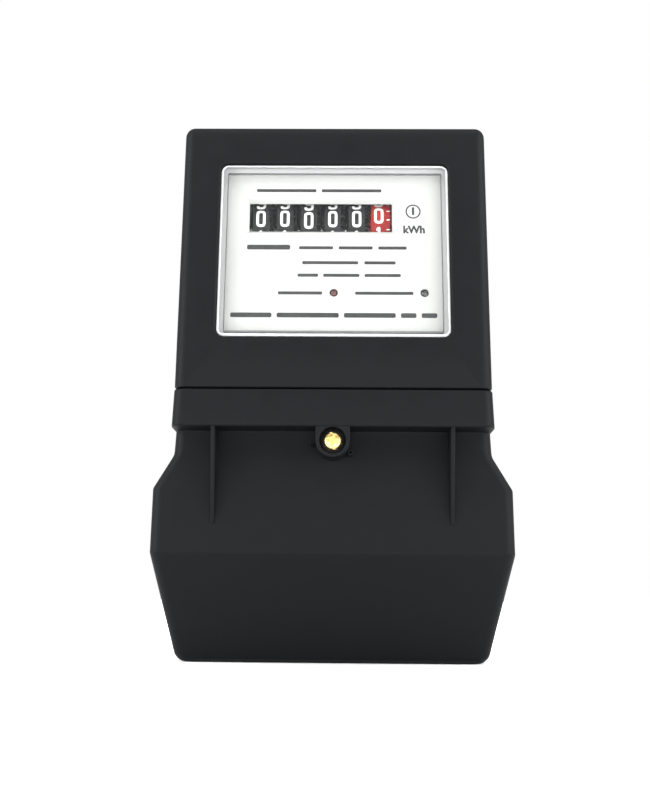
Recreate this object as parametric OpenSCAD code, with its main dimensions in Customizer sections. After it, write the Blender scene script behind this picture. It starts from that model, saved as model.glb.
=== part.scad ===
// Wall-mounted single-phase electricity meter with a drum register.
// Frame: origin on the wall plane at mid height, +X right, +Z up, the front faces -Y.
// Every depth below is a distance from the wall, so depth d lies at y = -d.

/* [Case] */
// Width across the case
case_w = 119.6; // [114:0.2:145]
// Height of the meter cover, from the seam to the top
case_h = 107.9; // [104:0.1:132]
// Height of the seam between the two covers, from the origin
seam_z = -3.6; // [-6:0.1:-2]
// Depth from the wall to the front face
case_d = 54; // [50:0.2:66]
// Wall of the meter cover and of the base's rim
case_wall = 2.5; // [2:0.1:3.2]
// Radius of the case's upper corners
case_r = 4; // [2:0.1:7]
// Radius of the corners at the seam
seam_r = 1; // [0.4:0.1:3]
// Height of the base's rim above the wall
rim_d = 15.8; // [15:0.1:17]
// Back plate of the base
back_t = 3.2; // [3:0.1:4.2]
// Gap between the two covers, and between the rim and the cover
seam_gap = 0.4; // [0.2:0.1:0.8]

/* [Window] */
// Width of the window opening
window_w = 89.5; // [74:0.5:93]
// Height of the window opening
window_h = 70.7; // [64:0.1:78]
// Distance from the case's top to the opening
window_top = 16.8; // [14:0.1:20]
// Radius of the opening's corners
window_r = 3; // [1.5:0.1:6]
// Wall of the clear window
window_t = 2; // [1.5:0.1:2.5]
// How far the window's front stands back from the case's front
window_recess = 1; // [0.5:0.1:1.5]
// How far the nameplate's front stands back from the case's front
plate_recess = 5.8; // [5.4:0.1:7]
// Thickness of the nameplate
plate_t = 1; // [0.8:0.1:1.2]
// Diameter of the lamp windows in the nameplate
lamp_d = 3.3; // [2.6:0.1:4.2]

/* [Register] */
// Radius of the digit drums
drum_r = 12.5; // [10.4:0.1:13]
// Distance between neighbouring digits
drum_pitch = 9.54; // [9.2:0.01:11.5]
// Width of a black digit band
band_w = 6.4; // [5.8:0.1:6.6]
// Width of the red tenths band
tenths_w = 7.5; // [7:0.1:7.6]
// Middle of the register, across
register_x = -5.35; // [-7:0.05:-4]
// Height of the drums' axis below the case's top
register_drop = 36.6; // [35:0.1:38]
// Diameter of the drum shaft
shaft_d = 3; // [2.4:0.1:4]
// Height of the register aperture
aperture_h = 11.9; // [10:0.1:13]

/* [Terminals] */
// Distance between neighbouring terminals
terminal_pitch = 21; // [20:0.5:23]
// Diameter of the wire bores
wire_d = 8; // [6:0.1:9.8]
// Width of a terminal's brass body
brass_w = 12; // [11:0.1:13]
// Height of a terminal's brass body
brass_h = 34; // [30:0.5:35]
// Diameter of the clamp screws' thread
clamp_d = 5; // [4:0.1:6]

/* [Terminal cover] */
// Height of the terminal cover
cover_h = 100.5; // [96:0.1:120]
// Height of the band that is flush with the case front
flush_h = 14.1; // [12:0.1:16]
// How far the neck stands out past the case at each side
neck_over = 0.8; // [0.7:0.1:1.5]
// How far the flare stands out past the case at each side
flare_over = 8.2; // [4:0.1:14]
// How far the foot stands out past the case at each side
foot_over = 0.9; // [0:0.1:6]
// Height of the ridge above the foot
ridge_h = 40.3; // [36:0.1:46]
// Depth of the foot's front edge
foot_d = 20; // [16:0.1:26]
// How far the face stands back from the flush band
face_step = 10.5; // [9:0.1:12]
// How far the face leans forward from the band to the ridge
face_lean = 2.5; // [0:0.1:4]
// Wall of the terminal cover
cover_wall = 2.2; // [1.8:0.1:2.6]
// Distance between the two ribs
rib_pitch = 89; // [76:0.5:100]
// Thickness of a rib
rib_t = 2; // [1.4:0.1:3]
// Width of the cable slot in the foot
slot_w = 84; // [60:1:100]

/* [Fixings] */
// Distance between the two lower wall holes
fixing_pitch = 85; // [80:0.5:100]
// Diameter of the wall holes
fixing_d = 5.2; // [4.2:0.1:6]
// How far the hanger plate slides up
hanger_travel = 12; // [8:0.5:13]
// Diameter of the cover screw's thread
screw_d = 3.5; // [3:0.1:4]
// Diameter of the cover screw's head
head_d = 6.7; // [6:0.1:8]
// Diameter of the well around the cover screw
well_d = 10; // [9.4:0.1:11]

/* [Hidden] */
$fn = 48;
eps = 0.01;
fit = 0.05;
loose = 0.1;

top_z = seam_z + case_h;
case_foot_z = seam_z + seam_gap / 2;

window_z = top_z - window_top - window_h / 2;
window_front_d = case_d - window_recess;
flange_over = 2.6;
flange_t = 1.6;
seal_t = 1;
case_inner_d = case_d - case_wall;
flange_front_d = case_inner_d - seal_t;
bevel = 0.8;

plate_front_d = case_d - plate_recess;
plate_back_d = plate_front_d - plate_t;
collar_d = plate_front_d - 1.6;
plate_w = case_w - 15;
plate_h = case_h - 20;
plate_z = (top_z + seam_z) / 2 + 1.5;
post_x = case_w / 2 - 9;
post_r = 3.2;
post_z = [seam_z + 16.6, top_z - 13.5];

drum_d = collar_d - 0.5 - drum_r;
drum_z = top_z - register_drop;
drum_n = 6;
drum_x = [for (i = [0:drum_n - 1]) register_x + (i - (drum_n - 1) / 2) * drum_pitch];
aperture_w = (drum_n - 1) * drum_pitch + 8.9;
gear_teeth = 20;
pinion_teeth = 8;
gear_w = 1.5;
transfer_w = 0.8;
pinion_shaft_r = 1;
// The pinion shaft just clears the digit bands, and the tooth size follows from that
mesh = drum_r + pinion_shaft_r + 0.5;
gear_m = 2 * mesh / (gear_teeth + pinion_teeth);
mesh_angle = -45;
pinion_d = drum_d - mesh * cos(mesh_angle);
pinion_z = drum_z + mesh * sin(mesh_angle);
drive_m = 0.6;
wheel_teeth = 24;
rotor_teeth = 10;
drive_mesh = drive_m * (wheel_teeth + rotor_teeth) / 2;
drive_angle = -50.4;
rotor_d = pinion_d - drive_mesh * cos(drive_angle);
rotor_z = pinion_z + drive_mesh * sin(drive_angle);
wheel_w = 1.2;
drive_x = drum_x[drum_n - 1] + tenths_w / 2 + gear_w + 0.35;
cheek_t = 1.5;
cheek_left = drum_x[0] - band_w / 2 - 3;
cheek_right = drive_x + wheel_w + 0.6;
cheek_back_d = pinion_d - pinion_shaft_r - 1.1;
cheek_foot_z = pinion_z - gear_m * (pinion_teeth / 2 + 0.9) - 0.7;
cheek_top_z = drum_z + drum_r + 1.1;
bar_t = 1.6;
tab_w = 6.4;
tab_x = [cheek_left - cheek_t - tab_w / 2, cheek_right + cheek_t + tab_w / 2];
tab_d = [plate_back_d - 5.7, plate_back_d - 4.2];
tab_z = drum_z + drum_r - 0.3;
can_r = 7;
can_l = 10;

board_t = 1.6;
board_back_d = 8;
board_front_d = board_back_d + board_t;
board_w = case_w - 30;
board_foot_z = seam_z + 5.6;
board_top_z = top_z - 9.5;
board_hole_x = board_w / 2 - 5;
board_hole_z = [board_foot_z + 20, board_top_z - 6];
lamp_z = drum_z - 31.7;
lamp_x = [0, 35.3];

term_x = [for (i = [0:3]) (i - 1.5) * terminal_pitch];
brass_top_z = seam_z - 6.4;
brass_foot_z = brass_top_z - brass_h;
brass_d = [12, 27];
wire_axis_d = 18;
wire_stop_z = brass_top_z - 4;
clamp_z = [brass_top_z - 9, brass_top_z - 24];
clamp_head_r = clamp_d / 2 + 1.4;
clamp_len = 9;
clamp_tip_d = wire_axis_d + wire_d / 2 + 0.2;
block_d = 36;
block_w = 3 * terminal_pitch + brass_w + 11;
block_top_z = seam_z;
block_foot_z = brass_foot_z - 1;
tail_w = 8;
tail_t = 1.5;
tail_d = 12.6;
tail_top_z = seam_z + 13.6;
block_screw_x = 2 * terminal_pitch / 2;
block_screw_z = block_foot_z + 7;

tongue_w = case_w - 5;
tongue_foot_z = block_foot_z - 11;
fixing_z = block_foot_z - 5.5;
case_screw_x = case_w / 2 - 8.5;
case_screw_z = seam_z - 5.9;
lug_t = 4;

neck_w = case_w + 2 * neck_over;
flare_w = case_w + 2 * flare_over;
foot_w = case_w + 2 * foot_over;
cover_top_z = seam_z - seam_gap / 2;
cover_foot_z = cover_top_z - cover_h;
flush_foot_z = cover_top_z - flush_h;
flare_top_z = cover_top_z - 23.1;
flare_foot_z = flare_top_z - 13;
ridge_z = cover_foot_z + ridge_h;
face_d = case_d - face_step;
ridge_d = face_d + face_lean;
foot_r = 4.5;
neck_draft = 0.7;
flare_draft = 0.2;
cross_part = 1.25;
cross_w = 1.05;
notch_t = 0.7;
rib_foot_z = ridge_z + 10.7;
boss_z = flush_foot_z - 5.05;
boss_r = well_d / 2 + 1.4;
boss_front_d = case_d - 0.4;
well_floor_d = boss_front_d - 5;
washer_t = 0.8;
head_t = 2.8;
head_under_d = well_floor_d + washer_t;
screw_len = 16;
pillar_d = face_d - cover_wall - 0.5;
insert_len = 10;
insert_r = screw_d / 2 + 1.25;
seal_hole_r = 0.8;

// Bosses on the base, which all start inside its back plate
root_d = 1;
standoff_r = 3.4;
case_boss_r = 4.2;
fixing_boss_r = 5;
fixing_boss_d = 6;
post_pilot_r = 1.1;
post_pilot_l = 8;
board_pilot_r = 1.3;
board_pilot_d = 1.4;
case_pilot_r = 1.6;
case_pilot_d = 3;
block_pilot_r = 1.6;
block_pilot_d = 0.8;
gasket_in = 0.8;
gasket_w = 1;
gasket_sink = 1;
tail_clear = 0.3;

// Screws: radius of the shank, radius of the head, height of the head
plate_screw = [1, 2.1, 1.4];
board_screw = [1.25, 2.6, 1.8];
block_screw = [1.5, 3, 2.2];
case_screw = [1.5, 3.2, 2.2];
block_bore_r = 1.7;
block_head_r = 3.4;
block_seat_d = 10;
lug_bore_r = 2.1;

// Board components: width, height and how far each stands off the board
film_size = [26, 15, 13];
film_z = board_foot_z + 31.5;
electrolytic_r = 5;
electrolytic_l = 16;
electrolytic_x = 6;
electrolytic_z = board_foot_z + 18;
varistor_r = 6.5;
varistor_x = [16, 20.5];
varistor_d = board_front_d + 9;
varistor_z = board_foot_z + 19;
chip_z = board_foot_z + 44;
chip_size = [7.5, 10.3, 2.2];
chip_pin_x = 4.4;
chip_pin_pitch = 0.8;
crystal_size = [10.6, 4.6, 3.5];
crystal_x = 14;
opto_size = [6.4, 4.6, 4.1];
opto_x = -17;
lamp_pin_r = 0.25;
lamp_pin_x = 0.64;

hanger_w = 25;
hanger_h = 30;
hanger_t = 1.2;
hanger_d = 0.95;
hanger_top_z = top_z - 1;
hanger_hole_z = hanger_top_z - 6;
stop_r = 1.3;
stop_z = hanger_top_z - 12.5;

DRUMS = ["drum_ten_thousands", "drum_thousands", "drum_hundreds", "drum_tens", "drum_units",
         "drum_tenths"];
PINIONS = ["pinion_ten_thousands", "pinion_thousands", "pinion_hundreds", "pinion_tens",
           "pinion_units"];
TERMINALS = ["terminal_1", "terminal_2", "terminal_3", "terminal_4"];
CLAMPS = ["clamp_screw_1_upper", "clamp_screw_1_lower", "clamp_screw_2_upper", "clamp_screw_2_lower",
          "clamp_screw_3_upper", "clamp_screw_3_lower", "clamp_screw_4_upper", "clamp_screw_4_lower"];

// A unit vector
function unit(v) = v / norm(v);

// One corner b of an outline, rounded to radius r between its neighbours a and c
function corner(a, b, c, r) =
    let (u = unit(a - b), w = unit(c - b), half = acos(u * w) / 2,
         mid = b + unit(u + w) * (r / sin(half)), reach = r / tan(half),
         p = b + u * reach - mid, q = b + w * reach - mid,
         start = atan2(p.y, p.x), raw = atan2(q.y, q.x) - start,
         turn = raw > 180 ? raw - 360 : raw < -180 ? raw + 360 : raw, steps = 6)
    r == 0 ? [b] : [for (i = [0:steps])
        let (a = start + turn * i / steps) mid + r * [cos(a), sin(a)]];

// An outline with each corner rounded to its own radius
function rounded(points, radii) =
    let (n = len(points))
    [for (i = [0:n - 1]) each corner(points[(i + n - 1) % n], points[i], points[(i + 1) % n], radii[i])];

// An anticlockwise outline moved inwards by t
function inset(points, t) =
    let (n = len(points))
    [for (i = [0:n - 1])
        let (a = unit(points[i] - points[(i + n - 1) % n]), b = unit(points[(i + 1) % n] - points[i]),
             na = [-a.y, a.x], nb = [-b.y, b.x])
        points[i] + t * (na + nb) / (1 + na * nb)];

// The outline of a gear with slim straight-sided teeth, one tooth on the first axis
function gear_outline(teeth, m) =
    let (tip = m * (teeth / 2 + 0.9), root = m * (teeth / 2 - 1.15))
    [for (i = [0:teeth - 1])
        for (c = [[root, -0.25], [tip, -0.1], [tip, 0.1], [root, 0.25]])
            c[0] * [cos((i + c[1]) * 360 / teeth), sin((i + c[1]) * 360 / teeth)]];

// A front-view outline extruded between two depths
module layer(from_d, to_d) {
    translate([0, -from_d, 0]) rotate([90, 0, 0]) linear_extrude(to_d - from_d) children();
}

// A rectangle with round corners, centred on a point of the front view
module panel(x, z, w, h, r) {
    translate([x, z])
        polygon(rounded([[-w / 2, -h / 2], [w / 2, -h / 2], [w / 2, h / 2], [-w / 2, h / 2]], [r, r, r, r]));
}

// A box between two x, two depths and two z values
module box(x, d, z) {
    translate([x[0], -d[1], z[0]]) cube([x[1] - x[0], d[1] - d[0], z[1] - z[0]]);
}

// A round bar along the depth axis at a point of the front view
module peg(x, z, from_d, to_d, r) {
    layer(from_d, to_d) translate([x, z]) circle(r);
}

// A round bar along X at a given depth and height
module axle(from_x, to_x, d, z, r) {
    translate([from_x, -d, z]) rotate([0, 90, 0]) cylinder(h = to_x - from_x, r = r);
}

// An outline drawn in the depth-and-height plane, extruded along X and turned about its own axis
module disc(from_x, to_x, d, z, turn = 0) {
    translate([from_x, -d, z]) rotate([turn, 0, 0]) rotate([90, 0, 90])
        linear_extrude(to_x - from_x) children();
}

// The same pieces at both sides of the middle
module both_sides() {
    for (side = [-1, 1]) scale([side, 1, 1]) children();
}

// A pan-head screw with its head on seat_d; size is its shank radius, head radius and head height
module pan_screw(x, z, tip_d, seat_d, size) {
    shank_r = size[0];
    head_r = size[1];
    head_h = size[2];
    difference() {
        union() {
            peg(x, z, tip_d, seat_d + eps, shank_r);
            peg(x, z, seat_d, seat_d + head_h, head_r);
        }
        layer(seat_d + head_h / 2, seat_d + head_h + 1) translate([x, z]) {
            square([head_r * 1.3, head_r * 0.26], center = true);
            square([head_r * 0.26, head_r * 1.3], center = true);
        }
    }
}

module base_case() {
    color("#1d1d1f") difference() {
        union() {
            layer(0, back_t) case_outline(0);
            layer(0, rim_d) difference() {
                case_outline(0);
                case_outline(case_wall);
            }
            layer(0, back_t)
                panel(0, (tongue_foot_z + case_foot_z + 6) / 2, tongue_w, case_foot_z + 6 - tongue_foot_z, 3);
            for (x = [-post_x, post_x], z = post_z) peg(x, z, root_d, plate_back_d, post_r);
            for (x = [-board_hole_x, board_hole_x], z = board_hole_z)
                peg(x, z, root_d, board_back_d, standoff_r);
            for (x = [-case_screw_x, case_screw_x]) peg(x, case_screw_z, root_d, rim_d, case_boss_r);
            for (x = [-fixing_pitch / 2, fixing_pitch / 2])
                peg(x, fixing_z, root_d, fixing_boss_d, fixing_boss_r);
        }
        // Groove in the rim for the gasket
        layer(rim_d - gasket_sink, rim_d + 1) difference() {
            case_outline(gasket_in);
            case_outline(gasket_in + gasket_w);
        }
        for (x = term_x) box([x - tail_w / 2 - tail_clear, x + tail_w / 2 + tail_clear],
            [tail_d - tail_clear, tail_d + tail_t + tail_clear],
            [case_foot_z - 1, case_foot_z + case_wall + 1]);
        for (x = [-post_x, post_x], z = post_z)
            peg(x, z, plate_back_d - post_pilot_l, plate_back_d + 1, post_pilot_r);
        for (x = [-board_hole_x, board_hole_x], z = board_hole_z)
            peg(x, z, board_pilot_d, board_back_d + 1, board_pilot_r);
        for (x = [-case_screw_x, case_screw_x])
            peg(x, case_screw_z, case_pilot_d, rim_d + 1, case_pilot_r);
        for (x = [-block_screw_x, block_screw_x])
            peg(x, block_screw_z, block_pilot_d, back_t + 1, block_pilot_r);
        for (x = [-fixing_pitch / 2, fixing_pitch / 2])
            peg(x, fixing_z, -1, fixing_boss_d + 1, fixing_d / 2);
        // Undercut channel for the hanger plate, open at the top and towards the wall
        difference() {
            union() {
                box([-hanger_w / 2 + 2.5, hanger_w / 2 - 2.5], [-1, hanger_d],
                    [hanger_top_z - hanger_h - 0.5, top_z + 1]);
                box([-hanger_w / 2 - 0.3, hanger_w / 2 + 0.3],
                    [hanger_d - loose, hanger_d + hanger_t + loose],
                    [hanger_top_z - hanger_h - 0.5, top_z + 1]);
            }
            peg(0, stop_z, 0.2, back_t, stop_r);
        }
    }
}

// Front view of the case above the seam, moved inwards by t
module case_outline(t) {
    x = case_w / 2 - t;
    z = [case_foot_z + t, top_z - t];
    r = [max(seam_r - t, 0.3), max(case_r - t, 0.5)];
    polygon(rounded([[-x, z[0]], [x, z[0]], [x, z[1]], [-x, z[1]]], [r[0], r[0], r[1], r[1]]));
}

module cover_gasket() {
    color("#3a3a3c") layer(rim_d - gasket_sink, rim_d + seam_gap / 2) difference() {
        case_outline(gasket_in);
        case_outline(gasket_in + gasket_w);
    }
}

module meter_cover() {
    lug_x = [case_screw_x - 4.5, tongue_w / 2];
    color("#1f1f21") difference() {
        union() {
            layer(rim_d + seam_gap / 2, case_d) case_outline(0);
            both_sides() box(lug_x, [rim_d + seam_gap / 2, rim_d + seam_gap / 2 + lug_t],
                [case_screw_z - 6, case_foot_z + 1]);
        }
        layer(rim_d, case_inner_d) case_outline(case_wall);
        layer(case_inner_d - 1, case_d + 1) panel(0, window_z, window_w, window_h, window_r);
        hull() {
            layer(case_d - bevel, case_d - bevel + eps) panel(0, window_z, window_w, window_h, window_r);
            layer(case_d, case_d + eps)
                panel(0, window_z, window_w + 2 * bevel, window_h + 2 * bevel, window_r + bevel);
        }
        for (x = [-case_screw_x, case_screw_x]) peg(x, case_screw_z, rim_d, rim_d + 2 * lug_t, lug_bore_r);
    }
}

// Front view of the window's flange
module flange_outline() {
    panel(0, window_z, window_w + 2 * flange_over, window_h + 2 * flange_over, window_r + 1);
}

module window_seal() {
    color("#505052") layer(flange_front_d, case_inner_d) difference() {
        flange_outline();
        panel(0, window_z, window_w + 1, window_h + 1, window_r);
    }
}

module window() {
    color("white", 0.3) difference() {
        union() {
            layer(flange_front_d - flange_t, flange_front_d) flange_outline();
            layer(flange_front_d - eps, window_front_d)
                panel(0, window_z, window_w - 2 * loose, window_h - 2 * loose, window_r - loose);
        }
        layer(flange_front_d - flange_t - 1, window_front_d - window_t)
            panel(0, window_z, window_w - 2 * window_t - 0.6, window_h - 2 * window_t - 0.6, window_r - 1);
    }
}

module nameplate() {
    frame_w = aperture_w + 2.6;
    frame_h = aperture_h + 2.6;
    color("white") difference() {
        union() {
            layer(plate_back_d, plate_front_d) panel(0, plate_z, plate_w, plate_h, 2);
            layer(collar_d, plate_front_d) panel(register_x, drum_z, frame_w + 0.6, frame_h + 0.6, 0.8);
            for (x = tab_x)
                peg(x, tab_z, tab_d[1], plate_back_d + eps, 2.4);
        }
        layer(collar_d - 1, plate_front_d + 1) panel(register_x, drum_z, aperture_w, aperture_h, 0.4);
        hull() {
            layer(collar_d + 0.2, collar_d + 0.2 + eps)
                panel(register_x, drum_z, aperture_w, aperture_h, 0.4);
            layer(plate_front_d, plate_front_d + eps) panel(register_x, drum_z, frame_w, frame_h, 0.6);
        }
        for (x = lamp_x) peg(x, lamp_z, plate_back_d - 1, plate_front_d + 1, lamp_d / 2);
        for (x = [-post_x, post_x], z = post_z) peg(x, z, plate_back_d - 1, plate_front_d + 1, 1.4);
        for (x = tab_x)
            peg(x, tab_z, tab_d[1] - 1, plate_back_d, 1);
    }
}

module plate_screws() {
    color("silver") for (x = [-post_x, post_x], z = post_z)
        pan_screw(x, z, plate_back_d - post_pilot_l + 1, plate_front_d, plate_screw);
}

module register_frame() {
    right = [cheek_right, cheek_right + cheek_t];
    left = [cheek_left - cheek_t, cheek_left];
    color("#e8e8e4") difference() {
        union() {
            box(left, [cheek_back_d, plate_back_d], [cheek_foot_z, cheek_top_z + bar_t]);
            box(right, [cheek_back_d, plate_back_d], [cheek_foot_z, cheek_top_z + bar_t]);
            // The right cheek reaches down to carry the motor
            box(right, [rotor_d - can_r - 0.2, rotor_d + can_r], [rotor_z - 4, cheek_foot_z + 1]);
            box([left[0], right[1]], [plate_back_d - 8, plate_back_d], [cheek_top_z, cheek_top_z + bar_t]);
            box([left[0], right[1]], [plate_back_d - 6, plate_back_d],
                [cheek_foot_z - bar_t, cheek_foot_z + eps]);
            box([left[0] - tab_w, left[0] + eps], tab_d, [tab_z - 3, tab_z + 3]);
            box([right[1] - eps, right[1] + tab_w], tab_d, [tab_z - 3, tab_z + 3]);
        }
        axle(cheek_left - cheek_t - 1, cheek_right + cheek_t + 1, drum_d, drum_z, shaft_d / 2);
        axle(cheek_left - cheek_t - 1, cheek_right + cheek_t + 1, pinion_d, pinion_z, pinion_shaft_r);
        axle(cheek_right - 1, cheek_right + cheek_t + 1, rotor_d, rotor_z, 1.2);
        for (x = tab_x)
            peg(x, tab_z, tab_d[0] - 1, tab_d[1] + 1, 1.3);
    }
}

module register_screws() {
    color("silver") for (x = tab_x) {
        peg(x, tab_z, tab_d[0] - eps, tab_d[1] + 3.4, 0.95);
        peg(x, tab_z, tab_d[0] - 1.5, tab_d[0], 2);
    }
}

module drum_shaft() {
    color("silver")
        axle(cheek_left - cheek_t, cheek_right + cheek_t, drum_d, drum_z, shaft_d / 2);
}

module pinion_shaft() {
    color("silver")
        axle(cheek_left - cheek_t, cheek_right + cheek_t, pinion_d, pinion_z, pinion_shaft_r);
}

// Digit drum number i from the left: a hollow band on a web and hub, a full gear on its right
// and, on all but the first, the disc with two transfer teeth on its left
module drum(i) {
    last = i == drum_n - 1;
    w = last ? tenths_w : band_w;
    x = [drum_x[i] - w / 2, drum_x[i] + w / 2];
    color(last ? "#b5413c" : "#2a2c2e") difference() {
        union() {
            axle(x[0], x[1], drum_d, drum_z, drum_r);
            disc(x[1] - eps, x[1] + gear_w, drum_d, drum_z, mesh_angle)
                polygon(gear_outline(gear_teeth, gear_m));
            if (i > 0) {
                axle(x[0] - transfer_w, x[0] + eps, drum_d, drum_z, gear_m * (gear_teeth / 2 - 1.15));
                intersection() {
                    disc(x[0] - transfer_w, x[0] + eps, drum_d, drum_z, 100)
                        polygon(gear_outline(gear_teeth, gear_m));
                    box([x[0] - 2, x[0] + 1], [drum_d, drum_d + drum_r], [drum_z - 4.2, drum_z + 0.6]);
                }
            }
        }
        // Pockets on both sides of the web
        difference() {
            axle(x[0] + 1.2, x[1] - 2.6, drum_d, drum_z, drum_r - 1.4);
            axle(x[0], x[1], drum_d, drum_z, shaft_d / 2 + 2);
        }
        axle(x[0] - 3, x[1] + 3, drum_d, drum_z, shaft_d / 2 + fit);
    }
}

// Transfer pinion between drum i and drum i + 1, turning freely on the pinion shaft
module pinion(i) {
    x = drum_x[i] + band_w / 2;
    far_x = drum_x[i + 1] - (i == drum_n - 2 ? tenths_w : band_w) / 2;
    color("#e8e4da") difference() {
        union() {
            disc(x + 0.15, x + gear_w - 0.1, pinion_d, pinion_z, mesh_angle + 180 + 180 / pinion_teeth)
                polygon(gear_outline(pinion_teeth, gear_m));
            axle(x + 0.15, far_x - 0.15, pinion_d, pinion_z, 2.5);
        }
        axle(x - 1, far_x + 1, pinion_d, pinion_z, pinion_shaft_r + fit);
    }
}

module idler_gear() {
    x = drum_x[drum_n - 1] + tenths_w / 2;
    color("#e8e4da") difference() {
        union() {
            disc(x + 0.15, drive_x + eps, pinion_d, pinion_z, mesh_angle + 180 + 180 / pinion_teeth)
                polygon(gear_outline(pinion_teeth, gear_m));
            disc(drive_x, drive_x + wheel_w, pinion_d, pinion_z, drive_angle)
                polygon(gear_outline(wheel_teeth, drive_m));
        }
        axle(x - 1, drive_x + wheel_w + 1, pinion_d, pinion_z, pinion_shaft_r + fit);
    }
}

module counter_motor() {
    x = cheek_right + cheek_t;
    color("#c8c8c8") difference() {
        axle(x, x + can_l, rotor_d, rotor_z, can_r);
        axle(x + 0.8, x + can_l - 0.8, rotor_d, rotor_z, can_r - 1);
        axle(x - 1, x + can_l + 1, rotor_d, rotor_z, 0.75 + fit);
    }
}

module motor_rotor() {
    x = cheek_right + cheek_t;
    color("#8f7a4d") union() {
        axle(drive_x, x + can_l, rotor_d, rotor_z, 0.75);
        axle(x + 1.2, x + can_l - 1.2, rotor_d, rotor_z, can_r - 2.2);
        disc(drive_x, drive_x + wheel_w, rotor_d, rotor_z, drive_angle + 180 + 180 / rotor_teeth)
            polygon(gear_outline(rotor_teeth, drive_m));
    }
}

module circuit_board() {
    color("#1f6b3a") difference() {
        layer(board_back_d, board_front_d)
            panel(0, (board_foot_z + board_top_z) / 2, board_w, board_top_z - board_foot_z, 1);
        for (x = [-board_hole_x, board_hole_x], z = board_hole_z)
            peg(x, z, board_back_d - 1, board_front_d + 1, 1.6);
    }
}

module board_screws() {
    color("silver") for (x = [-board_hole_x, board_hole_x], z = board_hole_z)
        pan_screw(x, z, board_pilot_d + 0.6, board_front_d, board_screw);
}

module dropper_capacitor() {
    left = -board_w / 2 + 2;
    color("#c9a227") layer(board_front_d, board_front_d + film_size[2])
        panel(left + film_size[0] / 2, film_z, film_size[0], film_size[1], 0.8);
}

module smoothing_capacitors() {
    color("#22304a") for (x = [-electrolytic_x, electrolytic_x])
        peg(x, electrolytic_z, board_front_d, board_front_d + electrolytic_l, electrolytic_r);
}

module varistor() {
    color("#2f5da8") union() {
        axle(varistor_x[0], varistor_x[1], varistor_d, varistor_z, varistor_r);
        for (z = [-2.5, 2.5])
            peg((varistor_x[0] + varistor_x[1]) / 2, varistor_z + z, board_front_d, varistor_d - 3, 0.4);
    }
}

module metering_chip() {
    color("#18181a") union() {
        layer(board_front_d + 0.15, board_front_d + chip_size[2])
            panel(0, chip_z, chip_size[0], chip_size[1], 0.2);
        for (side = [-chip_pin_x, chip_pin_x], i = [-5.5:5.5])
            box([side - 0.9, side + 0.9], [board_front_d, board_front_d + 0.8],
                [chip_z + i * chip_pin_pitch - 0.18, chip_z + i * chip_pin_pitch + 0.18]);
    }
}

module crystal() {
    color("silver") layer(board_front_d, board_front_d + crystal_size[2])
        panel(crystal_x, chip_z, crystal_size[0], crystal_size[1], 2.2);
}

module optocoupler() {
    color("#e9e9e6") union() {
        layer(board_front_d + 0.6, board_front_d + opto_size[2])
            panel(opto_x, chip_z, opto_size[0], opto_size[1], 0.2);
        for (x = [opto_x - 3.6, opto_x + 3.6], z = [chip_z - 1.27, chip_z + 1.27])
            box([x - 0.6, x + 0.6], [board_front_d, board_front_d + 2], [z - 0.3, z + 0.3]);
    }
}

// A round lamp on two long leads, its dome just behind the front of the nameplate
module lamp(x, tint) {
    r = lamp_d / 2 - loose;
    color(tint) union() {
        peg(x, lamp_z, plate_back_d - 4.5, plate_front_d - r, r);
        translate([x, -(plate_front_d - r), lamp_z]) sphere(r);
        for (dx = [-lamp_pin_x, lamp_pin_x])
            peg(x + dx, lamp_z, board_front_d, plate_back_d - 4.4, lamp_pin_r);
    }
}

module reverse_lamp() {
    lamp(lamp_x[0], "#7a3030");
}

module pulse_lamp() {
    lamp(lamp_x[1], "#4a5048");
}

module terminal_block() {
    color("#26221f") difference() {
        union() {
            box([-block_w / 2, block_w / 2], [back_t, block_d], [block_foot_z, block_top_z]);
            peg(0, boss_z, block_d - 1, pillar_d, insert_r + 1.8);
        }
        for (x = term_x) {
            box([x - brass_w / 2 - loose, x + brass_w / 2 + loose], [brass_d[0] - loose, brass_d[1] + loose],
                [block_foot_z - 1, brass_top_z + loose]);
            box([x - tail_w / 2 - tail_clear, x + tail_w / 2 + tail_clear],
                [tail_d - tail_clear, tail_d + tail_t + tail_clear], [brass_top_z - 1, block_top_z + 1]);
            for (z = clamp_z) peg(x, z, brass_d[1] - 1, block_d + 1, clamp_head_r + 0.4);
        }
        peg(0, boss_z, pillar_d - insert_len, pillar_d + 1, insert_r);
        peg(0, boss_z, pillar_d - insert_len - 3, pillar_d, screw_d / 2 + 0.4);
        for (x = [-block_screw_x, block_screw_x]) {
            peg(x, block_screw_z, 0, block_d, block_bore_r);
            peg(x, block_screw_z, block_seat_d, block_d + 1, block_head_r);
        }
    }
}

module block_screws() {
    color("silver") for (x = [-block_screw_x, block_screw_x])
        pan_screw(x, block_screw_z, block_pilot_d + 0.4, block_seat_d, block_screw);
}

// Brass terminal k: a drilled body for the wire and a tail that enters the case
module terminal(k) {
    x = term_x[k];
    color("#c9a64a") difference() {
        union() {
            box([x - brass_w / 2, x + brass_w / 2], brass_d, [brass_foot_z, brass_top_z]);
            box([x - tail_w / 2, x + tail_w / 2], [tail_d, tail_d + tail_t], [brass_top_z - 1, tail_top_z]);
        }
        translate([x, -wire_axis_d, brass_foot_z - 1])
            cylinder(h = wire_stop_z - brass_foot_z + 1, r = wire_d / 2);
        for (z = clamp_z) peg(x, z, wire_axis_d, brass_d[1] + 1, clamp_d / 2);
    }
}

// Clamp screw j: cheese head with a slot, backed out so that the wire bore is free
module clamp_screw(j) {
    x = term_x[floor(j / 2)];
    z = clamp_z[j % 2];
    seat = clamp_tip_d + clamp_len;
    color("#d8b765") difference() {
        union() {
            peg(x, z, clamp_tip_d, seat + eps, clamp_d / 2 - loose);
            peg(x, z, seat, seat + 3, clamp_head_r);
        }
        layer(seat + 1.6, seat + 4) translate([x, z]) square([2 * clamp_head_r + 1, 1.1], center = true);
    }
}

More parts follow.
